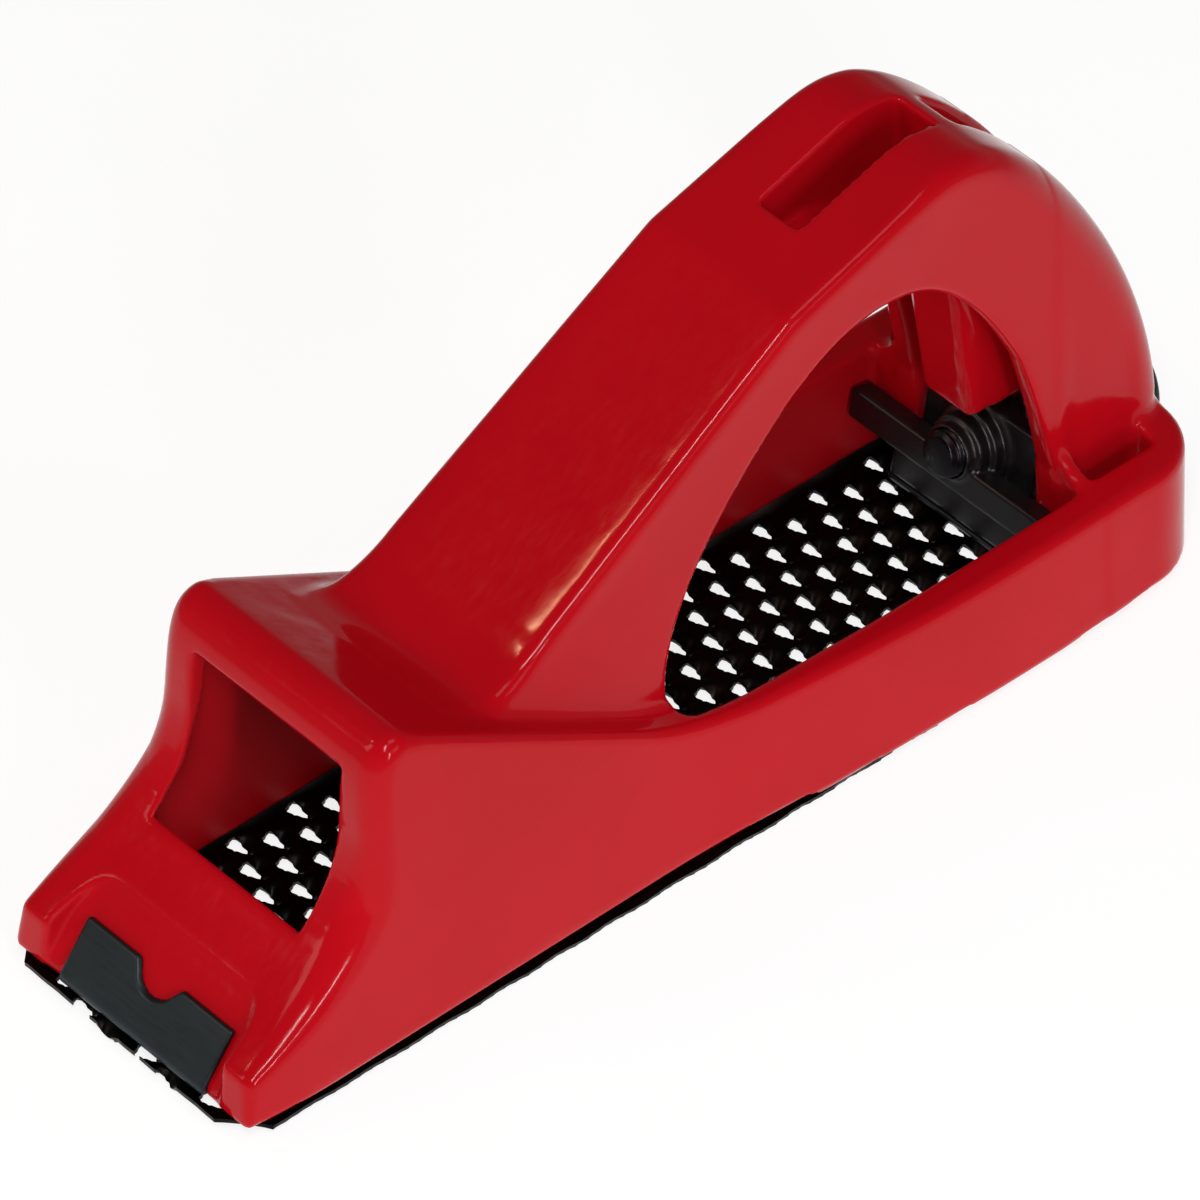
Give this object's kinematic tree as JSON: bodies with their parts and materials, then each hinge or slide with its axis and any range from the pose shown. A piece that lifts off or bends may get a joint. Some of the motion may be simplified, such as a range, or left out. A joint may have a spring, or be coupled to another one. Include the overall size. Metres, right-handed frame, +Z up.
{
  "type": "drywall plane",
  "caption": "Hand rasp plane for plasterboard: moulded body with an arched grip, a perforated toothed blade hooked under the sole, and a screw-drawn cross bar that tensions it.",
  "frame": {"origin": "middle of the bounding box in plan, on the plane of the blade's tooth tips", "axes": "+X towards the nose, +Y to the left of someone behind the tool, +Z up, away from the blade"},
  "size_m": [0.156, 0.0464, 0.0722],
  "materials": {
    "body": "moulded gloss",
    "blade": "blackened hardened steel",
    "hook": "satin",
    "bar": "satin",
    "nut": "turned",
    "screw": "black oxide",
    "washer": "plain"
  },
  "bodies": {
    "frame": {"body": "body", "blade_sheet": "blade", "front_hook": "hook", "rear_hook": "hook"},
    "bar": {"tension_bar": "bar", "bar_nut": "nut"},
    "screw": {"tension_screw": "screw", "screw_washer": "washer"}
  },
  "joints": [
    {"name": "screw_turn", "type": "hinge", "parent": "frame", "child": "screw", "pos_m": [-0.04754, 0, 0.0157], "axis": [-0.9848, 0, -0.1736], "range_deg": [0, 1440]},
    {"name": "bar_slide", "type": "slide", "parent": "frame", "child": "bar", "axis": [0.9848, 0, 0.1736], "range_m": [0, 0.004]}
  ],
  "couplings": [
    {"joint": "bar_slide", "follows": "screw_turn", "m_per_rad": 0.00015915}
  ]
}
